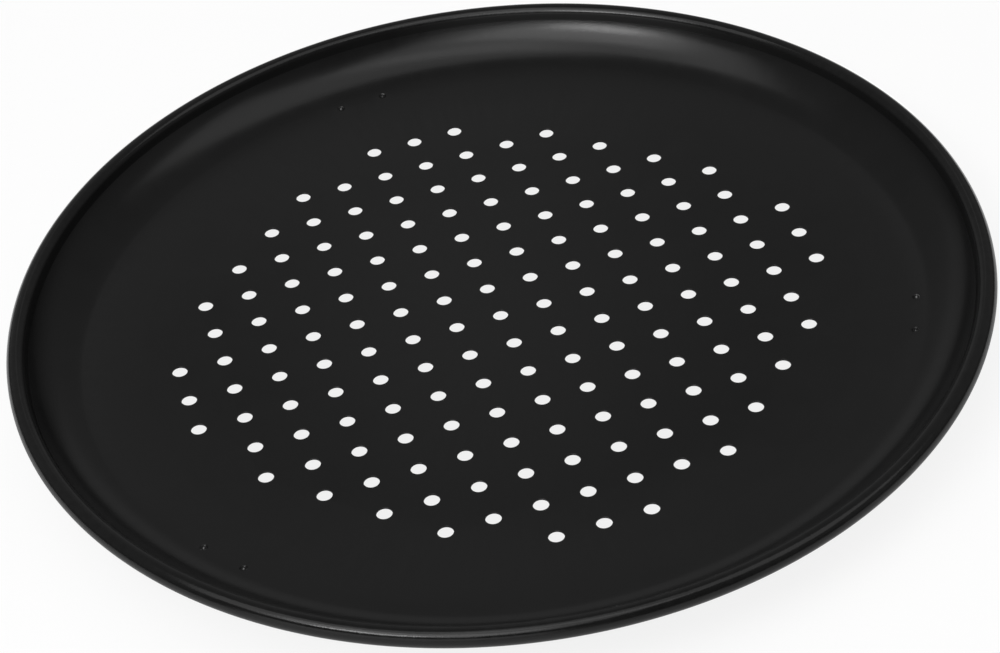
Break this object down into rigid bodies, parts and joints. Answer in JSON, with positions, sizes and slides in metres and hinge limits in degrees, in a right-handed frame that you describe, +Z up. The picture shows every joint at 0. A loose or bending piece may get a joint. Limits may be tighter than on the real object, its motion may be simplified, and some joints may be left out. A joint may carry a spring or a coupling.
{
  "type": "pizza pan",
  "caption": "Round shallow pizza pan with a perforated flat floor, curved side and rolled edge, on short strip feet.",
  "frame": {"origin": "on the surface that the pan stands on, under the pan's centre", "axes": "+Z up along the pan's axis; X and Y along the rows of the square hole grid, with one foot near +Y"},
  "size_m": [0.319, 0.3188, 0.0275],
  "materials": {
    "nonstick_sheet": "satin near-black non-stick coating on steel sheet",
    "coated_strip": "satin near-black non-stick coating on bent steel strip",
    "weld_metal": "dark coated weld nugget"
  },
  "bodies": {
    "root": {"pan_tray": "nonstick_sheet", "foot_back": "coated_strip", "foot_front_left": "coated_strip", "foot_front_right": "coated_strip", "spot_welds": "weld_metal"}
  },
  "joints": []
}
